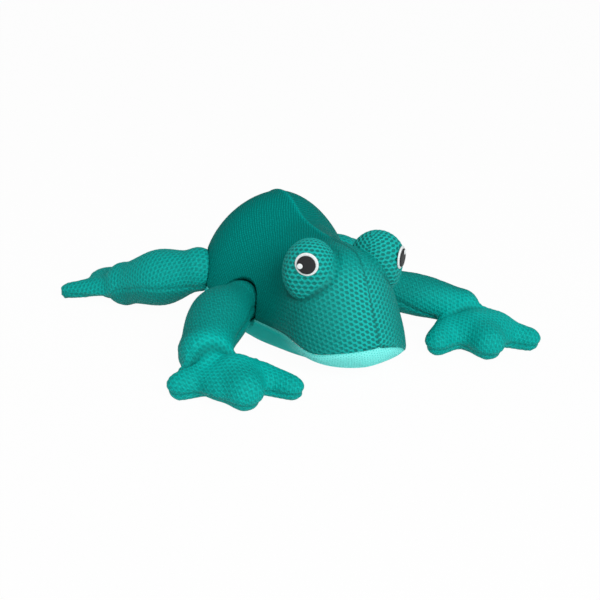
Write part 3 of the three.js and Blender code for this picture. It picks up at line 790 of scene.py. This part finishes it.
# How far open the mesh is stretched, and its painted light and shade: a front foot is painted light on top
# of the wrist and less so on its toes, and the right one's outer toe and a hind leg's underside have
# painted shade.
LEG_STRETCH = {"front": 0.42, "hind": 0.55}
FRONT_PAINTED_LIGHT = {"leg": 0.20, "wrist": 1.1, "toes": -0.65}
LIGHT_FROM = {"wrist": -0.004, "toes": 0.025}
LIGHT_EASE = 0.02
OUTER_TOE_PAINTED_SHADE = -0.5
OUTER_TOE_ASIDE = 0.014
OUTER_TOE_PAST = 0.005
OUTER_TOE_EASE = {"aside": 0.012, "past": 0.01}
HIND_PAINTED_LIGHT = {"top": 0.75, "under": -0.6}
HIND_PAINTED_LIGHT_EASE = 0.004
# The body is pressed in to leave this much room round a leg at rest. Round a leg that is moved a share
# of the way to its limits, the room is wider in these ratios at the root and half way down. The neck is
# where, and to what share, a leg narrows beyond its root. A raised leg presses the body from this far
# under its hinge up.
LEG_ROOM = 0.0001
MOVED_ROOM = (1.04, 1.08)
MOVED_SHARES = (0.34, 0.67, 1.0)
ROOT_NECK = (0.08, 0.95)
RAISED_FROM = 0.011


def leg_line(name, steps=80):
    """Points down the middle of a leg, from its root to its wrist."""
    root = np.array(joints[name + "_lift"]["pos_m"]) - np.array((0, 0, LEG_DROP.get(name, 0.0)))
    wrist = np.array(joints[name.replace("leg", "foot") + "_fold"]["pos_m"])
    bend = root + np.array(LEG_BEND[name])
    end = wrist + np.array(LEG_HEEL[name])
    t = np.linspace(0, 1, steps)[:, None]
    return (1 - t) ** 2 * root + 2 * t * (1 - t) * bend + t**2 * end


def leg_axes(headings):
    """The ways ahead, level and across, and over a leg, where its line has these headings."""
    ahead = headings / np.linalg.norm(headings, axis=1, keepdims=True)
    across = np.cross(ahead, (0, 0, 1))
    across /= np.linalg.norm(across, axis=1, keepdims=True)
    return ahead, across, np.cross(across, ahead)


def foot_ahead(name):
    """The way a foot points, level, square to the axis that it folds on."""
    axis = joints[name.replace("leg", "foot") + "_fold"]["axis"]
    return np.array((-axis[1], axis[0], 0.0))


def foot_aside(name):
    """The level way across a foot, to its left."""
    ahead = foot_ahead(name)
    return np.array((-ahead[1], ahead[0], 0.0))


def leg_form(name):
    """A swollen tube round the line of a leg, closed by the root ball and the wrist ball."""
    line = leg_line(name)
    step = np.linalg.norm(np.diff(line, axis=0), axis=1)
    walked = np.concatenate(([0], np.cumsum(step)))
    length = walked[-1]
    root, middle, end = LEG_GIRTH[name]
    near = [(-root * math.cos(t), root * math.sin(t)) for t in END_TURNS]
    swell = [(place * length, share * middle) for place, share in LEG_SWELL]
    far = [(length + end * math.cos(t), end * math.sin(t)) for t in END_TURNS[::-1]]
    form = add_ball(24, 30)
    ball = points(form)
    at = smooth_run(np.array(near + swell + far), np.arccos(np.clip(ball[:, 2], -1, 1)) / math.pi)
    radial = np.hypot(ball[:, 0], ball[:, 1])
    inside = np.clip(at[:, 0], 0, length)
    centre = np.column_stack([np.interp(inside, walked, line[:, k]) for k in range(3)])
    headings = np.gradient(line, axis=0)
    headings = np.column_stack([np.interp(inside, walked, headings[:, k]) for k in range(3)])
    ahead, across, over = leg_axes(headings)
    over *= LEG_FLAT.get(name, 1.0)
    centre += ahead * (at[:, 0] - inside)[:, None]
    wide = np.maximum(at[:, 1], 0) / np.maximum(radial, 1e-6) * (radial > 1e-6)
    move_points(form, centre + across * (wide * ball[:, 0])[:, None] + over * (wide * ball[:, 1])[:, None])
    return form


def palm_form(name, side, wrist):
    """A flat oval under the wrist."""
    length, width, height, forward, outward, lifted = PALMS[name]
    ahead, aside = foot_ahead(name), foot_aside(name)
    form = add_ball(24, 16)
    ball = points(form) * np.array((length, width, height)) / 2
    middle = np.array((wrist[0], wrist[1], height / 2 - FLOOR_FLAT + lifted))
    middle = middle + ahead * forward + aside * side * outward
    up = np.array((0.0, 0.0, 1.0))
    move_points(form, middle + ball[:, :1] * ahead + ball[:, 1:2] * aside + ball[:, 2:] * up)
    return form


def toe_form(name, side, wrist, toe):
    """A round-ended toe from under the wrist, turned from the way that the foot points."""
    turn, radius, reach, taper, lifted = toe
    ahead = foot_ahead(name)
    form = add_ball(20, 16)
    ball = points(form)[:, [2, 0, 1]] * radius
    ball[:, 1:] *= np.where(ball[:, :1] > 0, 1.0, 1.0 + taper)
    ball[:, 0] += np.where(ball[:, 0] > 0, reach - radius, TOE_START + radius)
    heading = math.atan2(ahead[1], ahead[0]) + math.radians(side * turn)
    c, s = math.cos(heading), math.sin(heading)
    turned = np.column_stack((c * ball[:, 0] - s * ball[:, 1], s * ball[:, 0] + c * ball[:, 1], ball[:, 2]))
    turned[:, 2] = np.maximum(turned[:, 2], -radius) + lifted * (ball[:, 0] < (reach + TOE_START) / 2)
    move_points(form, turned + np.array((wrist[0], wrist[1], radius - FLOOR_FLAT)))
    return form


def over_seam(name, places):
    """Height of each place over the seam round a leg and foot, and how far past the wrist it is."""
    line = leg_line(name)
    nearest = ((places[:, None, :] - line[None]) ** 2).sum(axis=2).argmin(axis=1)
    over = leg_axes(np.gradient(line, axis=0)[nearest])[2]
    over_leg = ((places - line[nearest]) * over).sum(axis=1)
    if name.startswith("hind"):
        over_leg = over_leg + np.interp(nearest / len(line), (0, HIND_KNEE), HIND_SEAM)
    past_wrist = (places - line[-1]) @ foot_ahead(name)
    share = ease((past_wrist - FOOT_SEAM_FROM) / FOOT_SEAM_EASE)
    return (1 - share) * over_leg + share * (places[:, 2] - FOOT_SEAM), past_wrist


def give_way(name):
    """Presses the body in round the upper part of a leg, at rest and as far as the leg is moved.

    At rest and lowered, the leg presses the body in along its own line; raised, out from its middle.
    """
    lift = joints[name + "_lift"]
    pivot = np.array(lift["pos_m"])
    line = leg_line(name)
    near = len(line) // 2
    inward = line[0] - line[near // 2]
    inward /= np.linalg.norm(inward)
    root, middle, end = LEG_GIRTH[name]
    places = (0, ROOT_NECK[0], *[place for place, share in LEG_SWELL])
    radii = (root, ROOT_NECK[1] * root, *[share * middle for place, share in LEG_SWELL])
    girth = np.interp(np.linspace(0, 1, len(line)), places, radii)
    shape = np.array((1, 1, LEG_FLAT.get(name, 1.0)))
    covers = [bpy.data.objects[n] for n in ("belly_cover", "back_cover_right", "back_cover_left")]
    skins = [points(cover) for cover in covers]
    limits = [math.radians(limit) for limit in lift["range_deg"]]
    for angle in [0.0] + [share * limit for limit in limits for share in MOVED_SHARES]:
        turn = np.array(Matrix.Rotation(angle, 3, Vector(lift["axis"])))
        widened = np.linspace(*(MOVED_ROOM if angle else (1.0, 1.0)), near)
        rooms = (girth[:near] * widened)[::2] + LEG_ROOM
        for centre, room in zip((line - pivot)[:near:2] @ turn.T + pivot, rooms):
            slide = inward / shape / room
            for skin in skins:
                away = (skin - centre) / shape / room
                far = np.linalg.norm(away, axis=1)
                if angle > 0:
                    inside = (far < 1) & (skin[:, 2] > pivot[2] - RAISED_FROM)
                    skin[inside] = centre + away[inside] / far[inside, None] * shape * room
                    continue
                inside = far < 1
                along = away[inside] @ slide / (slide @ slide)
                depth = (1 - far[inside] ** 2) / (slide @ slide)
                skin[inside] += (np.sqrt(along ** 2 + depth) - along)[:, None] * inward
    for cover, skin in zip(covers, skins):
        move_points(cover, skin)


for name in LEG_GIRTH:
    foot = name.replace("leg", "foot")
    kind = name.split("_")[0]
    side = 1 if name.endswith("left") else -1
    wrist = np.array(joints[foot + "_fold"]["pos_m"])
    root = np.array(joints[name + "_lift"]["pos_m"])
    ahead = foot_ahead(name)

    # The forms of leg, palm and toes, joined into one skin and stuffed.
    forms = [leg_form(name), palm_form(name, side, wrist)]
    forms += [toe_form(name, side, wrist, toe) for toe in TOES[name]]
    limb = forms[0]
    only(limb)
    for form in forms:
        form.select_set(True)
    bpy.ops.object.join()
    limb.name = name + "_cover"
    face_outward(limb)
    apply_modifier(limb, "REMESH", mode="VOXEL", voxel_size=LIMB_VOXEL)
    apply_modifier(limb, "SMOOTH", factor=0.5, iterations=6)
    move_points(limb, points(limb) + normals(limb) * LIMB_FULLER)
    on_floor = points(limb)[:, 2] < LIMB_HELD
    in_body = np.linalg.norm(points(limb) - root, axis=1) < LEG_GIRTH[name][0] - LIMB_HELD
    stuff(limb, on_floor | in_body)

    # The two panels of cloth, laid along the foot, or slanting on a front leg.
    panel = (over_seam(name, face_middles(limb))[0] > 0).astype(int)
    grain = ahead
    if kind == "front":
        grain = np.array((ahead[0] + ahead[1], ahead[1] - ahead[0], 0.0))
    lay_cloth(limb, panel, (grain, grain))
    apply_modifier(limb, "SUBSURF", levels=LIMB_FINE, render_levels=LIMB_FINE)

    # The seam between them and the gathered wrist, with painted shade in the wrist's crease.
    skin = points(limb)
    out = normals(limb)
    height, past = over_seam(name, skin)
    aside = (skin - wrist) @ foot_aside(name)
    on_top = ease((height - TOP_FROM) / TOP_EASE) * (kind == "front")
    crease = on_top * np.exp(-((past - WRIST_CREASE) / CREASE_WIDTH) ** 2)
    gathered = on_top * np.exp(-((past - WRIST_CREASE + GATHER_BEHIND) / GATHER_WIDTH) ** 2)
    drawn_in = SEAM_SUNK * np.exp(-(height / SEAM_REACH) ** 2)
    drawn_in += CREASE_SUNK * crease
    drawn_in -= gathered * (GATHER_RISE + GATHER_WAVE * np.sin(2 * math.pi * aside / GATHER_PITCH))
    skin -= out * drawn_in[:, None]
    skin[:, 2] = np.maximum(skin[:, 2], 0.0)
    move_points(limb, skin)
    # Dark seam lines, and painted shade in the crease ahead of the wrist's fold.
    line = LEG_SEAM_SHADE * np.exp(-(height / SEAM_LINE) ** 2)
    keep_values(limb, "seams_and_painted_shade", np.maximum(line, SEAM_SHADE * crease))
    only(limb)
    bpy.ops.object.shade_smooth()

    # The painted light and shade on the mesh, how open it is, and the body that gives way to the leg.
    if kind == "front":
        painted_light = np.full(len(skin), FRONT_PAINTED_LIGHT["leg"])
        for part, start in LIGHT_FROM.items():
            painted_light += FRONT_PAINTED_LIGHT[part] * ease((past - start) / LIGHT_EASE)
    else:
        painted_light = HIND_PAINTED_LIGHT["top"] + HIND_PAINTED_LIGHT["under"] * ease(-height / HIND_PAINTED_LIGHT_EASE)
    if name == "front_leg_right":
        outer = ease((side * aside - OUTER_TOE_ASIDE) / OUTER_TOE_EASE["aside"])
        painted_light += OUTER_TOE_PAINTED_SHADE * outer * ease((past - OUTER_TOE_PAST) / OUTER_TOE_EASE["past"])
    keep_values(limb, "painted_light", painted_light)
    open_holes(limb, np.full(len(skin), LEG_STRETCH[kind]), MESH_WEAVE, MESH_DEPTH)
    give_way(name)
    limb.data.materials.append(teal_mesh)
    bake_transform(limb)
    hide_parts(*[n + part for n in (name, foot) for part in ("_top", "_bottom", "_fill")])


# Studio
# A white paper floor that runs on out of sight, a large soft lamp in front and above, a weak one on
# the frog's right, and an even white room.
PAPER_WHITE = 0.97
ROOM_LIGHT = 0.31
# Each lamp's name, place, size across and power in watts.
LAMPS = (
    ("front_lamp", (-0.1, -1.25, 0.9), 0.8, 14.5),
    ("side_lamp", (-1.3, 0.0, 0.7), 1.0, 1.4),
)

bpy.ops.object.select_all(action="DESELECT")
bpy.ops.mesh.primitive_plane_add(size=8)
floor = bpy.context.object
floor.name = "floor"
# Paper that the camera sees as nearly pure white, with a trace of the shadow left on it.
paper, tree = new_material("white studio paper")
ray = put(tree, "LightPath").outputs
seen = put(tree, "Math", {0: ray["Is Camera Ray"], 1: ray["Is Glossy Ray"]}, operation="MAXIMUM")
share = put(tree, "Math", {0: seen.outputs[0], 1: PAPER_WHITE}, operation="MULTIPLY")
dull = put(tree, "BsdfDiffuse", {"Color": linear("#f4f4f4")})
white = put(tree, "Emission", {"Color": linear("#ffffff"), "Strength": 1.0})
both = put(tree, "MixShader", {0: share.outputs[0], 1: dull.outputs[0], 2: white.outputs[0]})
put(tree, "OutputMaterial", {"Surface": both.outputs[0]})
floor.data.materials.append(paper)

room = bpy.data.worlds.new("white room")
room.use_nodes = True
tree = room.node_tree
tree.nodes.clear()
seen = put(tree, "LightPath").outputs["Is Camera Ray"]
strength = put(tree, "MapRange", {"Value": seen, "To Min": ROOM_LIGHT, "To Max": 1.0})
even = put(tree, "Background", {"Color": linear("#ffffff"), "Strength": strength.outputs["Result"]})
put(tree, "OutputWorld", {"Surface": even.outputs[0]})
scene.world = room

for name, place, size, power in LAMPS:
    lamp = bpy.data.objects.new(name, bpy.data.lights.new(name, "AREA"))
    lamp.data.shape = "DISK"
    lamp.data.size = size
    lamp.data.energy = power
    lamp.location = place
    lamp.rotation_euler = (Vector(place) - Vector(VIEW_AIM)).to_track_quat("Z", "Y").to_euler()
    scene.collection.objects.link(lamp)
